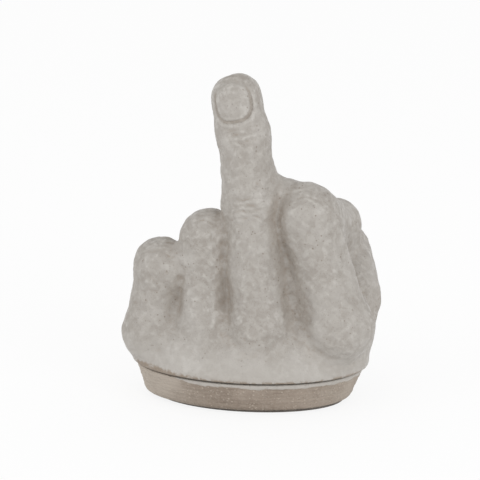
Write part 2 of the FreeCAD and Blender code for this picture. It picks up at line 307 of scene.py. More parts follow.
def nailRelief(points, digit):
    # nail plate with the fold of skin at its root and sides, open at its free edge
    nail = digit["nail"]
    along, back, side = digit["axes"][2]
    radius = digit["radii"][3]
    local = points - np.float32(digit["joints"][3])
    halfLength = nail["length"] / 2
    lengthwise = (local @ np.float32(along) - radius * nailShape["setBack"] + halfLength) / halfLength
    sideways = local @ np.float32(side) / (nail["width"] / 2)
    facing = rampUp(local @ np.float32(back), radius * 0.1, radius * 0.4)
    ring = (np.abs(sideways) ** 3 + np.abs(lengthwise) ** 2.6) ** (1 / 2.8)
    rooted = 1 - rampUp(lengthwise, 0.35, 0.85)
    groove = nailShape["groove"] * bump(ring - 1.02, 0.07) * rooted
    plate = -nailShape["plate"] * (1 - rampUp(ring, 0.9, 1.0))
    fold = -nailShape["fold"] * bump(ring - 1.22, 0.12) * rooted
    ridges = nailShape["ridges"] * np.sin(sideways * 26) * (1 - rampUp(ring, 0.7, 0.95))
    hollow = nailShape["underEdge"] * bump(lengthwise - 1.13, 0.09) * bump(sideways, 0.75)
    return (groove + plate + fold + ridges + hollow) * facing


# Shell of the hand: ovals from the hem on the foot up to the crown under the fingers

shell = {
    "rises": (0.0, 5.0, 9.0, 15.0, 24.0, 30.0, 34.0),
    "halfWidths": (42.6, 43.2, 43.4, 43.2, 41.0, 37.0, 32.0),
    "halfDepths": (27.4, 27.0, 25.4, 22.3, 15.2, 10.8, 8.6),
    "shifts": (0.0, 0.0, 0.2, 0.4, 0.2, -1.0, -2.5),
    "lipRise": 2.3,           # the rolled lip at the hem
    "lipReach": 0.7,
    "lipHalfHeight": 2.2,
    "edgeRound": 1.6,
    "crownRound": 7.0,
    "knuckleExtra": 0.3,      # how much fuller a knuckle is than the finger that springs from it
    "knuckleReach": 4.0,      # fillets
    "moundReach": 4.0,
    "webReach": 3.0,
}

mounds = [
    {"centre": (25.0, 9.0, 11.6), "radius": 11.4},      # below the thumb
    {"centre": (-28.0, 8.5, 13.0), "radius": 12.6},     # below the little finger
]

# clay pressed into the notches beside the raised finger and beside the little finger
notches = [
    {"centre": (12.4, -6.5, 65.4), "radius": 4.4, "reach": 7.0},
    {"centre": (-21.5, -10.5, 42.5), "radius": 3.4, "reach": 4.6},
]

# clay left between neighbouring fingers, set back from their faces
webs = [
    {"left": "folded_little_finger", "right": "folded_ring_finger",
     "share": 0.80, "offset": (-1.1, 3.0, 0), "radii": (6.8, 5.1)},
    {"left": "folded_ring_finger", "right": "raised_middle_finger",
     "share": 0.62, "offset": (0, 4.0, 0), "radii": (6.4, 5.9)},
    {"left": "raised_middle_finger", "right": "folded_index_finger",
     "share": 1.0, "offset": (0.6, 3.1, 0), "radii": (6.3, 6.2)},
]


def splineAt(heights, knots, values):
    # a natural cubic spline through the knots
    knots, values = np.array(knots), np.array(values)
    gaps = np.diff(knots)
    count = len(knots)
    matrix, right = np.eye(count), np.zeros(count)
    for k in range(1, count - 1):
        matrix[k, k - 1:k + 2] = gaps[k - 1], 2 * (gaps[k - 1] + gaps[k]), gaps[k]
        rises = (values[k + 1] - values[k]) / gaps[k], (values[k] - values[k - 1]) / gaps[k - 1]
        right[k] = 6 * (rises[0] - rises[1])
    bends = np.linalg.solve(matrix, right)
    heights = np.clip(heights, knots[0], knots[-1])
    k = np.clip(np.searchsorted(knots, heights) - 1, 0, count - 2)
    gap, low, high = gaps[k], heights - knots[k], knots[k + 1] - heights
    curve = (bends[k] * high ** 3 + bends[k + 1] * low ** 3) / (6 * gap)
    fromLow, fromHigh = (values[j] / gap - bends[j] * gap / 6 for j in (k, k + 1))
    curve += fromLow * high + fromHigh * low
    return curve.astype(np.float32)


def shellSides(points):
    # oval sides with the rolled lip at the hem
    rise = points[:, 2] - footTop
    lip = shell["lipReach"] * bump(rise - shell["lipRise"], shell["lipHalfHeight"])
    halfWidth = splineAt(rise, shell["rises"], shell["halfWidths"]) + lip
    halfDepth = splineAt(rise, shell["rises"], shell["halfDepths"]) + lip
    shift = splineAt(rise, shell["rises"], shell["shifts"])
    across, deep = points[:, 0] / halfWidth, (points[:, 1] - shift) / halfDepth
    size = np.sqrt(across ** 2 + deep ** 2) + 1e-6
    slope = np.sqrt((across / halfWidth) ** 2 + (deep / halfDepth) ** 2) + 1e-6
    sides = size * (size - 1) / slope
    return trim(sides, -rise, shell["edgeRound"]), rise


def lump(points, shape):
    # a ball of clay whose height is given above the foot
    return ball(points, shape["centre"] + np.array([0, 0, footTop]), [shape["radius"]] * 3)


def shellForm(points):
    # palm, back of the hand, knuckles, mounds and webs
    sides, rise = shellSides(points)
    form = trim(sides, rise - shell["rises"][-1], shell["crownRound"])
    for name, digit in digits.items():
        radius = digit["radii"][0] + (shell["knuckleExtra"] if name != "thumb" else 0.0)
        form = blend(form, ball(points, digit["joints"][0], [radius] * 3), shell["knuckleReach"])
    for mound in mounds:
        form = blend(form, lump(points, mound), shell["moundReach"])
    for web in webs:
        left, right = digits[web["left"]], digits[web["right"]]
        ends = []
        for share in (0.0, web["share"]):
            sides = [d["joints"][0] + share * (d["joints"][1] - d["joints"][0]) for d in (left, right)]
            ends.append((sides[0] + sides[1]) / 2 + np.array(web["offset"]))
        form = blend(form, rod(points, ends[0], ends[1], *web["radii"]), shell["webReach"])
    return trim(form, -rise, shell["edgeRound"])


# Hand-worked surface: slow swells from pressing the clay, and finer unevenness

workedClay = {
    "seed": 11,
    "swells": ((0.20, 13.0, 10), (0.075, 4.6, 14), (0.028, 1.9, 16)),   # height, size, how many waves
    "worksUp": (1.0, 9.0),       # height above the foot where it sets in, and where it is full
    "marksFade": (0.2, 2.0),     # distance from a neighbour over which creases and nails set in
}


def workedSurface(points):
    # a sum of slow waves in random directions
    random = np.random.default_rng(workedClay["seed"])
    total = np.zeros(len(points), np.float32)
    for height, size, count in workedClay["swells"]:
        directions = random.normal(size=(count, 3))
        directions /= np.linalg.norm(directions, axis=1)[:, None]
        scales = random.uniform(0.7, 1.4, count) * 2 * math.pi / size
        starts = random.uniform(0, 2 * math.pi, count)
        layer = np.zeros(len(points), np.float32)
        for direction, scale, start in zip(directions, scales, starts):
            layer += np.sin(points @ np.float32(direction * scale) + np.float32(start))
        total += layer * np.float32(height / math.sqrt(count / 2))
    return total


def fineRelief(points, forms):
    # creases, nails and the worked surface, to be added to the smooth form
    setsIn, full = workedClay["worksUp"]
    relief = workedSurface(points) * rampUp(points[:, 2], footTop + setsIn, footTop + full)
    for number, (name, digit) in enumerate(digits.items(), start=1):
        amount = digit["creases"]
        straight = name == "raised_middle_finger"
        radii = digit["radii"]
        marks = nailRelief(points, digit)
        backLines = creases["straightLines"] if straight else creases["bentLines"]
        for joint, lines in ((1, backLines), (2, backLines[1:3])):
            depth, width = creases["backDepths"][joint - 1] * amount, creases["backWidths"][joint - 1]
            span = radii[joint] * creases["backSpans"][joint - 1]
            marks += creaseLines(points, digit, joint, lines, depth, width, True, span)
        if straight:
            depth, width = creases["palmDepth"], creases["palmWidth"]
            for joint, lines in ((1, creases["palmLines"]), (2, (0.0,))):
                span = radii[joint] * creases["palmSpan"]
                marks += creaseLines(points, digit, joint, lines, depth, width, False, span)
        others = np.minimum.reduce([form for k, form in enumerate(forms) if k != number])
        relief += marks * rampUp(others - forms[number], *workedClay["marksFade"])
    return relief


# The grid, evaluated coarsely everywhere and finely only near the surface

nodeNames = ["hand_body"] + list(digits)
fillets = {"fingers": 2.6, "thumb": 1.5, "body": 3.2}


def allForms(points):
    # the six forms, and the whole smooth hand
    body = shellForm(points)
    forms = [digitForm(points, digit) for digit in digits.values()]
    fingers = blendAll(forms[:4], fillets["fingers"])
    whole = blend(blend(fingers, forms[4], fillets["thumb"]), body, fillets["body"])
    for notch in notches:
        filled = lump(points, notch)
        body = np.minimum(body, filled)
        whole = blend(whole, filled, notch["reach"])
    return [body] + forms, whole


def refine(coarse, factor):
    # linear interpolation of a grid to factor times as many steps
    for axis in range(3):
        count = coarse.shape[axis]
        where = np.arange((count - 1) * factor + 1) / factor
        low = np.minimum(where.astype(int), count - 2)
        share = (where - low).astype(np.float32)
        share = share.reshape([-1 if k == axis else 1 for k in range(3)])
        coarse = np.take(coarse, low, axis) * (1 - share) + np.take(coarse, low + 1, axis) * share
    return coarse


def buildGrid():
    # distance to the whole hand, and to each piece's own form, on the fine grid
    step, factor = gridShape["step"], gridShape["coarse"]
    low, high = cadBox[0] / mm, cadBox[1] / mm
    origin = np.array([low.x, low.y, footTop]) - gridShape["margin"]
    reach = np.array([high.x, high.y, high.z]) + gridShape["margin"] - origin
    counts = np.ceil(reach / (step * factor)).astype(int) + 1
    axes = [origin[k] + np.arange(counts[k]) * step * factor for k in range(3)]
    points = np.stack(np.meshgrid(*axes, indexing="ij"), -1).reshape(-1, 3).astype(np.float32)
    forms, whole = allForms(points)
    layers = [refine(layer.reshape(counts), factor) for layer in [whole] + forms]
    room = step * factor * gridShape["bandSteps"] + gridShape["bandRoom"]
    near = np.abs(whole.reshape(counts)) < room
    cells = np.zeros(counts - 1, bool)
    for a, b, c in corners:
        cells |= near[a:counts[0] - 1 + a, b:counts[1] - 1 + b, c:counts[2] - 1 + c]
    band = cells.repeat(factor, 0).repeat(factor, 1).repeat(factor, 2)
    where = np.argwhere(band)
    points = (origin + where * step).astype(np.float32)
    forms, whole = allForms(points)
    whole = whole + fineRelief(points, forms)
    for layer, values in zip(layers, [whole] + forms):
        layer[where[:, 0], where[:, 1], where[:, 2]] = values
    return origin, layers[0], layers[1:]


def sample(field, origin, points):
    # the field's value at any points, by linear interpolation
    local = (points - origin) / gridShape["step"]
    local = np.clip(local, 0, np.array(field.shape) - 1.001)
    low = local.astype(int)
    share = local - low
    total = 0
    for corner in corners:
        weight = 1
        for axis in range(3):
            weight = weight * (share[:, axis] if corner[axis] else 1 - share[:, axis])
        total = total + weight * field[tuple((low + corner).T)]
    return total


def slopeAt(field, origin, points, reach):
    # direction in which the field grows fastest
    slope = np.stack([
        sample(field, origin, points + axis * reach) - sample(field, origin, points - axis * reach)
        for axis in np.eye(3)
    ], 1)
    return slope / (np.linalg.norm(slope, axis=1)[:, None] + 1e-9)


def splitPatterns():
    # which of the 256 patterns of a cell's corners hold two separate bits of clay, or of air
    split = np.zeros(256, bool)
    for pattern in range(256):
        for clay in (0, 1):
            chosen = [corner for k, corner in enumerate(corners) if (pattern >> k & 1) == clay]
            reached = set(chosen[:1])
            for _ in corners:
                reached |= {corner for corner in chosen for other in reached
                            if sum(a != b for a, b in zip(corner, other)) == 1}
            split[pattern] |= len(reached) < len(chosen)
    return split


def partTouching(field):
    # evens out, or parts, cells where clay only meets at a corner, so that the mesh closes cleanly
    split = splitPatterns()
    sizes = np.array(field.shape) - 1
    for turn in range(gridShape["evenings"] + gridShape["partings"]):
        inside = (field < 0).astype(np.int16)
        pattern = np.zeros(sizes, np.int16)
        for k, (a, b, c) in enumerate(corners):
            pattern += inside[a:sizes[0] + a, b:sizes[1] + b, c:sizes[2] + c] << k
        cells = np.argwhere(split[pattern])
        if not len(cells):
            break
        spots = np.unique(np.concatenate([cells + corner for corner in corners]), axis=0)
        here = tuple(spots.T)
        if turn < gridShape["evenings"]:
            steps = [shift * axis for axis in np.eye(3, dtype=int) for shift in (-1, 1)]
            around = sum(field[tuple(np.clip(spots + step, 0, sizes).T)] for step in steps)
            field[here] = (field[here] + around) / 7
        else:
            field[here] = np.maximum(field[here], gridShape["parting"])
    return field


def largestPart(points, quads):
    # drops crumbs of clay that aren't joined to the piece
    label = np.arange(len(points))
    while True:
        joined = label.copy()
        np.minimum.at(joined, quads.ravel(), label[quads].min(1).repeat(4))
        joined = joined[joined]
        if (joined == label).all():
            break
        label = joined
    kept = label == np.bincount(label).argmax()
    number = np.cumsum(kept) - 1
    return points[kept], number[quads[kept[quads[:, 0]]]]


def netSurface(field, origin):
    # a quad mesh over the field's zero surface: one point in each crossed cell
    inside = field < 0
    sizes = np.array(field.shape) - 1
    total = np.zeros(sizes, np.int8)
    for a, b, c in corners:
        total += inside[a:sizes[0] + a, b:sizes[1] + b, c:sizes[2] + c]
    cells = np.argwhere((total > 0) & (total < 8))
    number = np.full(sizes, -1, np.int32)
    number[tuple(cells.T)] = np.arange(len(cells))
    sums, hits = np.zeros((len(cells), 3)), np.zeros(len(cells))
    values = {corner: field[tuple((cells + corner).T)] for corner in corners}
    for start in corners:
        for axis in range(3):
            if start[axis]:
                continue
            end = tuple(1 if k == axis else start[k] for k in range(3))
            a, b = values[start], values[end]
            crossed = (a < 0) != (b < 0)
            share = np.where(crossed, a / np.where(crossed, a - b, 1), 0)
            spot = np.array(start) + share[:, None] * (np.array(end) - np.array(start))
            sums += spot * crossed[:, None]
            hits += crossed
    points = origin + (cells + sums / hits[:, None]) * gridShape["step"]
    quads = []
    for axis in range(3):
        u, v = (axis + 1) % 3, (axis + 2) % 3
        first = [slice(1, None)] * 3
        first[axis] = slice(0, -1)
        second = list(first)
        second[axis] = slice(1, None)
        a, b = inside[tuple(first)], inside[tuple(second)]
        edges = np.argwhere(a != b)
        outward = a[tuple(edges.T)]
        edges = edges + np.array([0 if k == axis else 1 for k in range(3)])
        within = (edges[:, u] < sizes[u]) & (edges[:, v] < sizes[v])
        edges, outward = edges[within], outward[within]
        stepU, stepV = np.eye(3, dtype=int)[u], np.eye(3, dtype=int)[v]
        shifts = (stepU * 0, stepU, stepU + stepV, stepV)
        quad = np.stack([number[tuple((edges - shift).T)] for shift in shifts], 1)
        quads.append(np.where(outward[:, None], quad[:, ::-1], quad)[:, ::-1])
    return points, np.concatenate(quads)


def evenOut(points, quads, field, origin):
    # relaxes the mesh and puts its points back on the surface
    reach = gridShape["step"]
    for _ in range(gridShape["smoothing"]):
        sums, hits = np.zeros_like(points), np.zeros(len(points))
        for k in range(4):
            for other in (quads[:, k - 1], quads[:, (k + 1) % 4]):
                np.add.at(sums, quads[:, k], points[other])
                np.add.at(hits, quads[:, k], 1)
        points = 0.5 * points + 0.5 * sums / hits[:, None]
        gap = sample(field, origin, points)
        points = points - np.clip(gap, -reach, reach)[:, None] * slopeAt(field, origin, points, reach)
    return points


def putIn(name, data):
    # a mesh, a lamp or a camera as an object of the scene
    thing = bpy.data.objects.new(name, data)
    bpy.context.collection.objects.link(thing)
    return thing


def objectOf(name, points, faces):
    # an object from points in metres
    mesh = bpy.data.meshes.new(name)
    mesh.from_pydata(points, [], faces)
    return putIn(name, mesh)


def meshPiece(name, points, quads):
    # a smooth-shaded Blender mesh from points in millimetres
    mesh = bpy.data.meshes.new(name)
    mesh.vertices.add(len(points))
    mesh.vertices.foreach_set("co", (points * mm).astype(np.float32).ravel())
    mesh.loops.add(quads.size)
    mesh.loops.foreach_set("vertex_index", quads.astype(np.int32).ravel())
    mesh.polygons.add(len(quads))
    mesh.polygons.foreach_set("loop_start", np.arange(len(quads), dtype=np.int32) * quads.shape[1])
    mesh.update(calc_edges=True)
    mesh.validate()
    mesh.shade_smooth()
    return putIn(name, mesh)


def storeShare(piece, name, values):
    layer = piece.data.attributes.new(name, "FLOAT", "POINT")
    layer.data.foreach_set("value", values.astype(np.float32))


shading = {
    "steps": (1.0, 2.2, 4.5),      # how far out to look for walls, in millimetres
    "wideSteps": (8.0, 12.0),
    "curveReach": 0.9,
}


def crevicesAndRidges(points, field, origin):
    # how enclosed each point is, and how sharply the surface turns out there: masks for the painted
    # shade and wash in the glaze
    normal = slopeAt(field, origin, points, gridShape["step"])
    shares = []
    for steps in (shading["steps"], shading["wideSteps"]):
        free = [sample(field, origin, points + normal * distance) / distance for distance in steps]
        shares.append(np.mean([np.clip(1 - share, 0, 1) for share in free], 0))
    reach = shading["curveReach"]
    bend = -6 * sample(field, origin, points)
    for axis in np.eye(3):
        bend = bend + sample(field, origin, points + axis * reach)
        bend = bend + sample(field, origin, points - axis * reach)
    return shares[0], shares[1], bend / reach ** 2


# Materials


def linear(red, green, blue):
    # a colour as a screen shows it, from 0 to 255, in the shader's own scale
    shares = (red / 255, green / 255, blue / 255)
    return tuple(((s + 0.055) / 1.055) ** 2.4 if s > 0.04 else s / 12.92 for s in shares) + (1.0,)


class Tree:
    # brief helpers for wiring the nodes of a material or of the world

    def __init__(self, owner):
        owner.use_nodes = True
        self.owner, self.nodes, self.links = owner, owner.node_tree.nodes, owner.node_tree.links

    def fill(self, node, inputs):
        # each input is a number, a colour or another node's output
        for name, value in inputs.items():
            if isinstance(value, bpy.types.NodeSocket):
                self.links.new(value, node.inputs[name])
            else:
                node.inputs[name].default_value = value
        return node

    def node(self, kind, inputs, **settings):
        node = self.nodes.new("ShaderNode" + kind)
        for name, value in settings.items():
            setattr(node, name, value)
        return self.fill(node, inputs)

    def place(self):
        # the object's own coordinates
        if "place" not in self.nodes:
            self.node("TexCoord", {}, name="place")
        return self.nodes["place"].outputs["Object"]

    def coordinate(self, axis):
        return self.node("SeparateXYZ", {0: self.place()}).outputs[axis]

    def noise(self, size, detail=4.0, roughness=0.55, distortion=0.0):
        # noise whose features are about size millimetres
        inputs = {"Vector": self.place(), "Scale": 1 / (size * mm), "Detail": detail,
                  "Roughness": roughness, "Distortion": distortion}
        return self.node("TexNoise", inputs).outputs["Fac"]

    def spots(self, size, low, high):
        # specks on cells about size millimetres across: 1 at a speck's middle
        cells = self.node("TexVoronoi", {"Vector": self.place(), "Scale": 1 / (size * mm)})
        return self.ramp(cells.outputs["Distance"], high, low)

    def ramp(self, source, low, high, toLow=0.0, toHigh=1.0):
        inputs = {"Value": source, "From Min": low, "From Max": high, "To Min": toLow, "To Max": toHigh}
        return self.node("MapRange", inputs, interpolation_type="SMOOTHSTEP").outputs["Result"]

    def maths(self, operation, a, b):
        return self.node("Math", {0: a, 1: b}, operation=operation).outputs[0]

    def times(self, a, b):
        return self.maths("MULTIPLY", a, b)

    def plus(self, a, b):
        return self.maths("ADD", a, b)

    def mix(self, share, a, b):
        # mix of two colours
        return self.node("Mix", {0: share, 6: a, 7: b}, data_type="RGBA").outputs[2]

    def attribute(self, name):
        return self.node("Attribute", {}, attribute_name=name).outputs["Fac"]

    def bumps(self, *layers):
        # bumps of (height, depth in millimetres), one on top of another
        before = {}
        for source, depth in layers:
            inputs = {"Strength": 1.0, "Distance": depth * mm, "Height": source, **before}
            before = {"Normal": self.node("Bump", inputs).outputs["Normal"]}
        return before["Normal"]

    def wired(self, colour, roughness, normal):
        inputs = {"Base Color": colour, "Roughness": roughness, "Normal": normal}
        self.fill(self.nodes["Principled BSDF"], inputs)
        return self.owner

    def seen(self):
        # 1 for the rays that show a background: the camera's, and those mirrored or let through
        rays = self.node("LightPath", {}).outputs
        shown = self.maths("MAXIMUM", rays["Is Camera Ray"], rays["Is Transmission Ray"])
        return self.maths("MAXIMUM", shown, rays["Is Glossy Ray"])


# sizes and depths in these looks are in millimetres

glazeLook = {
    "colour": linear(162, 157, 151),
    "pale": linear(176, 172, 166),
    "dark": linear(149, 143, 136),
    # brown of the glaze wash, also used for painted shade in the creases and for the thin glaze at the
    # edge
    "washAndShade": linear(131, 115, 98),
    "speck": linear(98, 82, 66),
    "washShadeDeep": 0.27,          # how much brown wash and painted shade darken the creases
    "washShadeWide": 0.17,          # and the wider hollows, with the same painted shade and wash
    "pooledAndLit": 0.5,             # how far the hem turns pale: thick pooled glaze and painted light
    "pooledAndLitOver": (4, 15),     # height above the foot over which that fades
    "thin": 0.8,               # how brown the thin glaze is at its very edge
    "thinOver": (0.5, 1.7),
    "roughness": (0.40, 0.62),
    "cloudSize": 14,
    "mottleSize": 2.6,
    "mottled": 0.5,
    "speckSizes": (1.7, 0.75),
    "specked": 0.6,
    "grainSize": 0.9,
    "pitSize": 1.3,
    "skin": (0.7, 0.07),       # size and depth of its fine unevenness
    "ripple": (3.2, 0.16),
    "pitDepth": 0.16,
}

# the hand was dipped aslant: the glaze stops above the joint at one end and laps over it at the other
dipLine = {
    "slope": (-34 * mm, -8 * mm),  # where along the foot the line comes down
    "bare": 1.6,                   # clay left bare above the joint, on the little finger's side
    "lap": 1.5,                    # glaze below the joint, on the thumb's side
}


def makeGlaze():
    # matt warm grey glaze: mottled, specked with iron, with a brown wash and painted shade in the
    # creases and hollows, and paler towards the hem with pooled glaze and painted light
    look, tree = glazeLook, Tree(bpy.data.materials.new("mattGlaze"))
    crevice, hollow, ridge = (tree.attribute(name) for name in ("crevice", "hollow", "ridge"))
    cloudy = tree.ramp(tree.noise(look["cloudSize"], 5, 0.6, 0.4), 0.35, 0.68)
    mottle = tree.ramp(tree.noise(look["mottleSize"], 6, 0.62, 0.6), 0.38, 0.66)
    colour = tree.mix(cloudy, look["dark"], look["colour"])
    colour = tree.mix(tree.times(mottle, look["mottled"]), colour, look["pale"])
    worn = tree.times(tree.ramp(ridge, 0.12, 0.7), tree.ramp(mottle, 0.2, 0.9, 0.35, 0.9))
    colour = tree.mix(worn, colour, look["pale"])
    coarseSize, fineSize = look["speckSizes"]
    coarse = tree.times(tree.spots(coarseSize, 0.10, 0.22), tree.ramp(tree.noise(5, 2), 0.48, 0.62))
    fine = tree.times(tree.spots(fineSize, 0.12, 0.26), 0.45)
    specks = tree.times(tree.maths("MAXIMUM", coarse, fine), look["specked"])
    colour = tree.mix(specks, colour, look["speck"])
    grain = tree.ramp(tree.noise(look["grainSize"], 6, 0.7), 0.3, 0.7, -0.1, 0.1)
    # painted shade: creases, inward turns and wide hollows darken towards a brown that is partly wash
    # left in them and partly shade
    deep = tree.ramp(tree.plus(crevice, grain), 0.22, 0.80, 0.0, look["washShadeDeep"])
    inward = tree.ramp(tree.maths("SUBTRACT", grain, ridge), 0.12, 0.9, 0.0, look["washShadeDeep"])
    wide = tree.ramp(tree.plus(hollow, grain), 0.10, 0.60, 0.0, look["washShadeWide"])
    washAndShade = tree.plus(tree.maths("MAXIMUM", deep, inward), wide)
    colour = tree.mix(washAndShade, colour, look["washAndShade"])
    height = tree.plus(tree.coordinate("Z"), tree.ramp(mottle, 0, 1, -0.5 * mm, 0.5 * mm))
    lift = tree.ramp(tree.coordinate("X"), *dipLine["slope"], dipLine["bare"] * mm, 0.0)
    height = tree.maths("SUBTRACT", height, lift)
    # paler towards the hem, thick pooled glaze and painted light together; brown where the glaze thins
    # at its very edge
    for name, tint in (("pooledAndLit", look["pale"]), ("thin", look["washAndShade"])):
        low, high = ((footTop + rise) * mm for rise in look[name + "Over"])
        colour = tree.mix(tree.ramp(height, low, high, look[name], 0.0), colour, tint)
    low, high = look["roughness"]
    gloss = tree.plus(tree.ramp(mottle, 0, 1, high, low), tree.times(washAndShade, 0.2))
    pits = tree.times(tree.spots(look["pitSize"], 0.06, 0.20), tree.ramp(tree.noise(7, 2), 0.5, 0.62))
    skinSize, skinDepth = look["skin"]
    rippleSize, rippleDepth = look["ripple"]
    normal = tree.bumps((tree.noise(skinSize, 5, 0.6), skinDepth),
                        (tree.noise(rippleSize, 3, 0.5), rippleDepth),
                        (tree.times(pits, -1.0), look["pitDepth"]))
    return tree.wired(colour, gloss, normal)


stonewareLook = {
    "toasted": linear(149, 136, 124),
    "pale": linear(165, 154, 142),
    "scorched": linear(130, 117, 105),
    "grog": linear(186, 174, 160),
    "paleEnds": linear(178, 169, 158),
    "paleEndsOver": (13.0, 43.0),   # the two ends of the oval turn paler
    "paleEndsShare": 0.75,              # and how far
    "darkest": 7.0,                # how far towards the thumb's side it is darkest
    "flameSize": 16,
    "grainSize": 0.8,
    "grogSize": 1.5,
    "darkSize": 2.3,               # of its dark specks
    "lapped": 0.9,                 # how far the lapped glaze covers it
    "grainDepth": 0.16,
    "grogDepth": 0.12,
    "dents": (4.0, 0.3),           # their size and depth
}


def makeStoneware():
    # bare toasted stoneware: coarse, dry and uneven in colour
    look, tree = stonewareLook, Tree(bpy.data.materials.new("bareStoneware"))
    flame = tree.ramp(tree.noise(look["flameSize"], 4, 0.6, 0.8), 0.36, 0.66)
    grain = tree.ramp(tree.noise(look["grainSize"], 6, 0.7), 0.35, 0.7)
    grog = tree.spots(look["grogSize"], 0.16, 0.30)
    colour = tree.mix(flame, look["scorched"], look["toasted"])
    colour = tree.mix(tree.times(grain, 0.45), colour, look["pale"])
    colour = tree.mix(tree.times(grog, 0.55), colour, look["grog"])
    dark = tree.times(tree.spots(look["darkSize"], 0.08, 0.2), 0.7)
    colour = tree.mix(dark, colour, look["scorched"])
    # paler towards the two ends of the oval, darkest a little towards the thumb's side
    offset = tree.maths("SUBTRACT", tree.coordinate("X"), look["darkest"] * mm)
    away = tree.plus(tree.maths("ABSOLUTE", offset, 0.0), tree.ramp(flame, 0, 1, -3 * mm, 3 * mm))
    near, far = (distance * mm for distance in look["paleEndsOver"])
    colour = tree.mix(tree.ramp(away, near, far, 0.0, look["paleEndsShare"]), colour, look["paleEnds"])
    joint, lap = (footTop + 1) * mm, (footTop - dipLine["lap"]) * mm
    line = tree.ramp(tree.coordinate("X"), *dipLine["slope"], joint, lap)
    height = tree.plus(tree.coordinate("Z"), tree.ramp(tree.noise(5, 3), 0, 1, -0.9 * mm, 0.9 * mm))
    over = tree.maths("SUBTRACT", height, line)
    lapped = tree.ramp(over, -0.15 * mm, 0.25 * mm, 0.0, look["lapped"])
    colour = tree.mix(lapped, colour, glazeLook["pale"])
    dry = tree.maths("SUBTRACT", tree.ramp(grain, 0, 1, 0.95, 0.78), tree.times(lapped, 0.3))
    dentSize, dentDepth = look["dents"]
    normal = tree.bumps((tree.noise(0.6, 6, 0.7), look["grainDepth"]), (grog, look["grogDepth"]),
                        (tree.noise(dentSize, 3, 0.5), dentDepth))
    return tree.wired(colour, dry, normal)


feltLook = {
    "colour": linear(112, 104, 96),
    "fibre": linear(142, 133, 123),
    "shade": linear(86, 79, 72),
    "matSize": 1.1,
    "tuftSize": 4.5,
    "fibreSize": 0.35,
    "depths": (0.18, 0.1),     # of the matting and of the fibres
    "sheen": 0.3,
    "sheenRoughness": 0.6,
}


def makeFelt():
    # pressed felt: matted fibres with a soft nap
    look, tree = feltLook, Tree(bpy.data.materials.new("pressedFelt"))
    matted = tree.ramp(tree.noise(look["matSize"], 7, 0.75, 1.6), 0.35, 0.68)
    tufts = tree.ramp(tree.noise(look["tuftSize"], 4, 0.6, 0.6), 0.35, 0.65)
    colour = tree.mix(matted, look["shade"], look["colour"])
    colour = tree.mix(tree.times(tufts, 0.4), colour, look["fibre"])
    sheen = {"Sheen Weight": look["sheen"], "Sheen Roughness": look["sheenRoughness"]}
    tree.fill(tree.nodes["Principled BSDF"], sheen)
    fibres = tree.noise(look["fibreSize"], 4, 0.7, 1.0)
    normal = tree.bumps((matted, look["depths"][0]), (fibres, look["depths"][1]))
    return tree.wired(colour, tree.ramp(matted, 0, 1, 1.0, 0.88), normal)


# Pieces of the hand


def makeHand(glaze):
    # one closed mesh for each piece of the hand, all from the same form
    origin, whole, forms = buildGrid()
    print("clay form on its grid", whole.shape)
    for number, name in enumerate(nodeNames):
        own = forms[number]
        others = np.minimum.reduce([form for k, form in enumerate(forms) if k != number])
        beyond = 0.5 * (own - others)
        sunk = whole + gridShape["dip"] * np.clip(beyond, 0, None)
        field = partTouching(np.maximum(sunk, beyond - gridShape["overlap"]))
        points, quads = largestPart(*netSurface(field, origin))
        points = evenOut(points, quads, field, origin)
        piece = meshPiece(name + "_glazed", points, quads)
        # masks of how enclosed and how curved each point is, which the glaze uses for its wash, painted
        # shade and worn edges
        shares = crevicesAndRidges(points, whole, origin)
        for share, values in zip(("crevice", "hollow", "ridge"), shares):
            storeShare(piece, share, values)
        piece.data.materials.append(glaze)
        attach(piece, "root")
        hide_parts(name)
        print("piece", piece.name, len(quads), "faces")


# Foot: an oval ring turned on its own profile

foot = {
    "around": 360,
    "footprintInset": 4.9,     # how far the sole is drawn in from the rim
    "edgeInset": 2.0,          # of that, at the rounded bottom edge
    "lean": 0.8,               # how far the sole sits towards the little finger's side
    "edgeRise": 2.5,
    "topRound": 0.6,
    "wall": 10.5,
    "rows": (8, 24, 4, 8),     # of faces on the bottom edge, the side, the top edge and inside
    "toolMarks": 0.14,         # depth of the marks
    "fineRings": (0.5, 4.2),   # share of that depth, and how close they are
    "broadRings": (0.35, 2.1),
    "sway": 0.35,              # how uneven the ring is
    "waves": 6,
    "cut": 1.6,                # how far the tool cut in, times that depth
    "seed": 5,
}


def quarterTurn(steps):
    return np.linspace(0, math.pi / 2, steps + 1)


def footProfile():
    # (inset from the rim's oval, height) round the section of the ring, from inside bottom outwards
    low, high, wall, r = footLow[2], footTop, foot["wall"], foot["topRound"]
    sole, rise = foot["footprintInset"], foot["edgeRise"]
    heel = sole - foot["edgeInset"]
    edge, side, top, inside = foot["rows"]
    profile = [(wall, low)]
    for a in quarterTurn(edge):
        profile.append((sole - (sole - heel) * math.sin(a), low + rise * (1 - math.cos(a))))
    for k in range(1, side):
        share = k / side
        profile.append((heel * (1 - share), low + rise + (high - r - low - rise) * share))
    for a in quarterTurn(top):
        profile.append((r - r * math.cos(a), high - r + r * math.sin(a)))
    for k in range(inside):
        profile.append((wall, high + (low - high) * k / inside))
    return profile


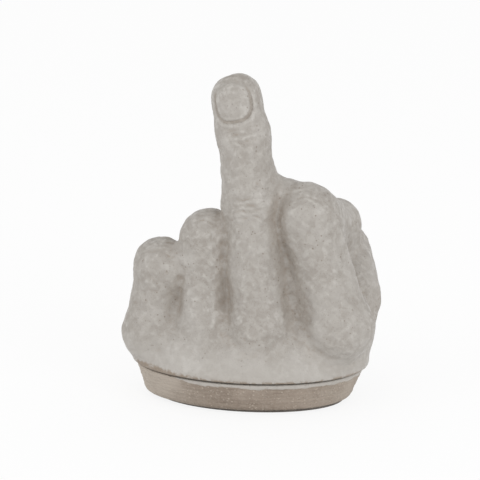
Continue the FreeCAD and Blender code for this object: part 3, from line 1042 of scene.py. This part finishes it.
def makeFoot(stoneware):
    # the bare ring under the hand
    random = np.random.default_rng(foot["seed"])
    halfWidth, halfDepth = (footHigh[0] - footLow[0]) / 2, (footHigh[1] - footLow[1]) / 2
    profile = footProfile()
    angles = np.arange(foot["around"]) * 2 * math.pi / foot["around"]
    sway = 0
    for _ in range(foot["waves"]):
        count, start = random.integers(2, 9), random.uniform(0, 2 * math.pi)
        sway = sway + random.uniform(0.4, 1) * np.sin(count * angles + start)
    fineDepth, finePitch = foot["fineRings"]
    broadDepth, broadPitch = foot["broadRings"]
    points = []
    for inset, height in profile:
        outside = inset < foot["wall"] - 0.5
        ring = fineDepth * np.sin(height * finePitch + 1.3 * np.sin(angles * 2))
        ring = ring + broadDepth * np.sin(height * broadPitch + angles * 3)
        worked = foot["toolMarks"] * (ring + foot["sway"] * sway - foot["cut"]) * outside
        drop = (footTop - height) / (footTop - footLow[2]) * outside
        x = (halfWidth - inset + worked) * np.cos(angles) - foot["lean"] * drop
        y = (halfDepth - inset + worked) * np.sin(angles)
        points.append(np.stack([x, y, np.full_like(x, height)], 1))
    points = np.concatenate(points)
    here = np.arange(len(points)).reshape(len(profile), -1)
    there = np.roll(here, -1, 0)
    quads = np.stack([here, np.roll(here, -1, 1), np.roll(there, -1, 1), there], 2).reshape(-1, 4)
    piece = meshPiece("stoneware_foot_bare", points, quads)
    piece.data.materials.append(stoneware)
    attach(piece, "root")
    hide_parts("stoneware_foot")
    print("foot", len(profile), "rows")


felt = {
    "around": 240,
    "rings": 26,
    "edgeRound": 0.45,
    "edgeSteps": 4,
    "nap": 0.06,               # how far its cut edge is frayed
    "seed": 3,
}


def makeFeltBase(material):
    # the oval of felt under the foot, with a soft cut edge
    low, high = boxInMm("felt_base")
    random = np.random.default_rng(felt["seed"])
    halfWidth, halfDepth = (high[0] - low[0]) / 2, (high[1] - low[1]) / 2
    r, rings = felt["edgeRound"], felt["rings"]
    turns = quarterTurn(felt["edgeSteps"])
    profile = [(1 - k / rings, 0, low[2]) for k in range(rings - 1, 0, -1)]
    profile += [(1, r - r * math.sin(a), low[2] + r - r * math.cos(a)) for a in turns]
    profile += [(1, r - r * math.cos(a), high[2] - r + r * math.sin(a)) for a in turns]
    profile += [(1 - k / rings, 0, high[2]) for k in range(1, rings)]
    angles = np.arange(felt["around"]) * 2 * math.pi / felt["around"]
    points = [[0, 0, low[2]]]
    for scale, inset, height in profile:
        fray = random.uniform(-felt["nap"], 0, len(angles)) if scale == 1 else 0
        x = (halfWidth - inset + fray) * scale * np.cos(angles)
        y = (halfDepth - inset + fray) * scale * np.sin(angles)
        points += np.stack([x, y, np.full_like(x, height)], 1).tolist()
    points.append([0, 0, high[2]])
    around, faces = felt["around"], []
    for k in range(around):
        after = (k + 1) % around
        faces.append((0, 1 + after, 1 + k))
        for row in range(len(profile) - 1):
            here = 1 + row * around
            faces.append((here + k, here + after, here + around + after, here + around + k))
        last = 1 + (len(profile) - 1) * around
        faces.append((last + k, last + after, len(points) - 1))
    piece = objectOf("felt_base_pressed", [tuple(c * mm for c in point) for point in points], faces)
    piece.data.shade_smooth()
    piece.data.materials.append(material)
    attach(piece, "root")
    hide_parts("felt_base")
    print("felt base")


def dressFloor(stoneware):
    # the slab inside the foot keeps its own shape and takes the bare clay's finish
    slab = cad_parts["floor_slab"]
    slab.data.materials.clear()
    slab.data.materials.append(stoneware)


# Studio

studio = {
    "worldStrength": 0.86,
    "floorSize": 6.0,
    "shadowShare": 0.14,       # how much of the floor's look comes from the light on it
    "floorColour": (0.92, 0.92, 0.92, 1),
    "lamps": {                 # place and power
        "keyLight": ((1.0, -0.85, 0.42), 5.6),
        "fillLight": ((-1.0, -0.85, 0.34), 4.4),
    },
    "lampAim": (0, 0, 0.05),
    "lampSize": 0.8,
    "cameraDistance": 0.75,
    "cameraElevation": 15.0,
    "cameraAzimuth": 10.0,     # towards the thumb's side
    "pixel": 0.36,             # millimetres across one pixel of the 480 pixel frame
    "framePixels": 480,
    "aim": (-3.6, 0.0, 58.05),
    "sensor": 36.0,
    "clip": (0.01, 20.0),
}


def makeWorld():
    # white all round, and plain white where it is seen
    world = bpy.data.worlds.new("whiteRoom")
    bpy.context.scene.world = world
    tree = Tree(world)
    levels = {"Value": tree.seen(), "To Min": studio["worldStrength"], "To Max": 1.0}
    strength = tree.node("MapRange", levels).outputs["Result"]
    tree.fill(tree.nodes["Background"], {"Color": (1, 1, 1, 1), "Strength": strength})


def makeStage():
    # a wide pale floor that keeps the hand's shadow
    half = studio["floorSize"] / 2
    square = [(x * half, y * half, 0) for x, y in ((-1, -1), (1, -1), (1, 1), (-1, 1))]
    stage = objectOf("studioFloor", square, [(0, 1, 2, 3)])
    tree = Tree(bpy.data.materials.new("paleFloor"))
    tree.nodes.clear()
    lit = tree.node("BsdfDiffuse", {"Color": studio["floorColour"]}).outputs[0]
    glow = tree.node("Emission", {"Strength": 1.0}).outputs[0]
    share = tree.times(tree.seen(), 1 - studio["shadowShare"])
    surface = tree.node("MixShader", {0: share, 1: lit, 2: glow}).outputs[0]
    tree.node("OutputMaterial", {"Surface": surface})
    stage.data.materials.append(tree.owner)


def hang(name, data, place, view):
    # a lamp or a camera that looks along view
    thing = putIn(name, data)
    thing.location = place
    thing.rotation_mode = "QUATERNION"
    thing.rotation_quaternion = view.to_track_quat("-Z", "Y")
    return thing


def addLamps():
    # soft square lamps, one to each side
    for name, (place, power) in studio["lamps"].items():
        data = bpy.data.lights.new(name, "AREA")
        data.shape = "SQUARE"
        data.size = studio["lampSize"]
        data.energy = power
        hang(name, data, place, Vector(studio["lampAim"]) - Vector(place))


def makeCamera():
    # the photo's view: a long lens, looking a little down on the back of the hand
    elevation = math.radians(studio["cameraElevation"])
    distance = studio["cameraDistance"]
    azimuth = math.radians(studio["cameraAzimuth"])
    level = math.cos(elevation)
    back = Vector((math.sin(azimuth) * level, -math.cos(azimuth) * level, math.sin(elevation)))
    aim = Vector([c * mm for c in studio["aim"]])
    data = bpy.data.cameras.new("photoCamera")
    data.sensor_width = studio["sensor"]
    fieldWidth = studio["pixel"] * studio["framePixels"] * mm
    data.lens = data.sensor_width * distance / fieldWidth
    data.clip_start, data.clip_end = studio["clip"]
    bpy.context.scene.camera = hang("photoCamera", data, aim + back * distance, -back)


glaze, stoneware, feltMaterial = makeGlaze(), makeStoneware(), makeFelt()
makeHand(glaze)
makeFoot(stoneware)
makeFeltBase(feltMaterial)
dressFloor(stoneware)
makeWorld()
makeStage()
addLamps()
makeCamera()
bpy.context.scene.view_settings.view_transform = "Standard"
